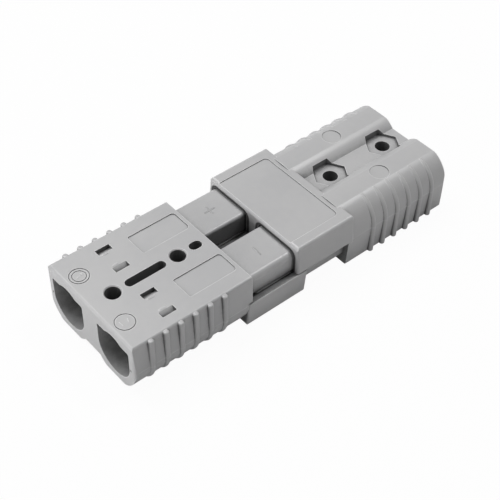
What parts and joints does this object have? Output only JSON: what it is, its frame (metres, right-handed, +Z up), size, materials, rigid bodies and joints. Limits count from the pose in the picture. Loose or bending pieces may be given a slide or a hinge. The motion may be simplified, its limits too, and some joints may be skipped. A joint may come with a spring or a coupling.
{
  "type": "genderless power connector",
  "caption": "Genderless power connector: identical ribbed housings plugged together hood over tongue, with open cable entries, mounting holes and plated blade contacts.",
  "frame": {"origin": "centre of the mated pair, on the plane where the halves meet, midway between the poles", "axes": "+X along the pair from the near half's cable end to the far half's cable end, +Y across the poles to the positive pole, +Z up, out of the near half's flat face"},
  "size_m": [0.204, 0.0716, 0.0338],
  "materials": {
    "housing_plastic": "satin moulded polycarbonate",
    "contact_plate": "silver-plated copper",
    "leaf_steel": "stainless spring steel"
  },
  "bodies": {
    "near_half": {"housing_near": "housing_plastic", "contact_near_pos": "contact_plate", "contact_near_neg": "contact_plate", "leaf_near_pos": "leaf_steel", "leaf_near_neg": "leaf_steel"},
    "far_half": {"housing_far": "housing_plastic", "contact_far_pos": "contact_plate", "contact_far_neg": "contact_plate", "leaf_far_pos": "leaf_steel", "leaf_far_neg": "leaf_steel"}
  },
  "joints": [
    {"name": "mating_slide", "type": "slide", "parent": "near_half", "child": "far_half", "axis": [1, 0, 0], "range_m": [0, 0.062]}
  ]
}
